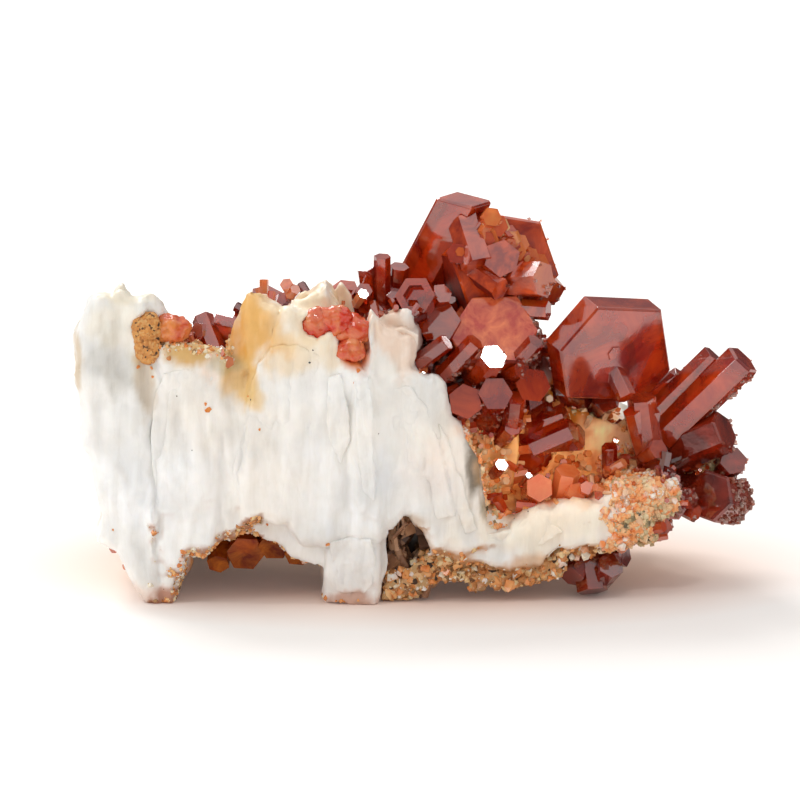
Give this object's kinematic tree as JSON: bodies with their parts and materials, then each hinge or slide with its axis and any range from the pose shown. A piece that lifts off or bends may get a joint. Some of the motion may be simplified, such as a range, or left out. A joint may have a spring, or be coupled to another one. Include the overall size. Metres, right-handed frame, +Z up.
{
  "type": "vanadinite on matrix",
  "caption": "Mineral specimen: a wall of white bladed barite with an iron-stained shelf, carrying clusters of red-brown hexagonal vanadinite crystals.",
  "frame": {"origin": "middle of the specimen's footprint, on the surface it stands on", "axes": "+X to the right along the white wall, +Y to the back, +Z up; the white wall faces -Y"},
  "size_m": [0.0598, 0.0342, 0.0349],
  "materials": {
    "barite": "waxy white barite with pale fibrous grain and yellow-orange iron stain",
    "vanadinite": "glossy, translucent deep red-brown to orange crystal",
    "pale_vanadinite": "glossy, translucent salmon-orange crystal",
    "iron_crust": "rough, sugary orange-brown crust",
    "brown_crust": "dull brown crust with black specks",
    "red_lump": "glossy orange-red rounded crust"
  },
  "bodies": {
    "root": {"arch_crystals_1": "vanadinite", "arch_crystals_2": "vanadinite", "back_left_crystals_1": "vanadinite", "back_left_crystals_2": "vanadinite", "back_middle_crystals": "vanadinite", "back_right_crystals_1": "vanadinite", "back_right_crystals_2": "vanadinite", "back_right_crystals_3": "vanadinite", "barite_matrix": "barite", "big_crystal": "vanadinite", "blade_crystals": "vanadinite", "cavity_flakes": "brown_crust", "centre_cluster_1": "vanadinite", "centre_cluster_2": "vanadinite", "crown_barrel": "vanadinite", "crown_prism": "vanadinite", "dark_middle_crystals": "vanadinite", "edge_crystal": "vanadinite", "hanging_crystals": "vanadinite", "left_nodule": "brown_crust", "left_wall_crystals": "vanadinite", "lower_right_crystals": "vanadinite", "middle_top_crystals": "vanadinite", "open_hexagon": "vanadinite", "pale_shelf_crystals_1": "pale_vanadinite", "pale_shelf_crystals_2": "pale_vanadinite", "pink_lump": "red_lump", "red_nodule": "red_lump", "right_prism": "vanadinite", "right_rim_crystals": "vanadinite", "rim_crust": "iron_crust", "shelf_crystals": "vanadinite", "small_shelf_prism": "vanadinite", "upper_left_crystals": "vanadinite", "upright_bundle": "vanadinite"}
  },
  "joints": []
}
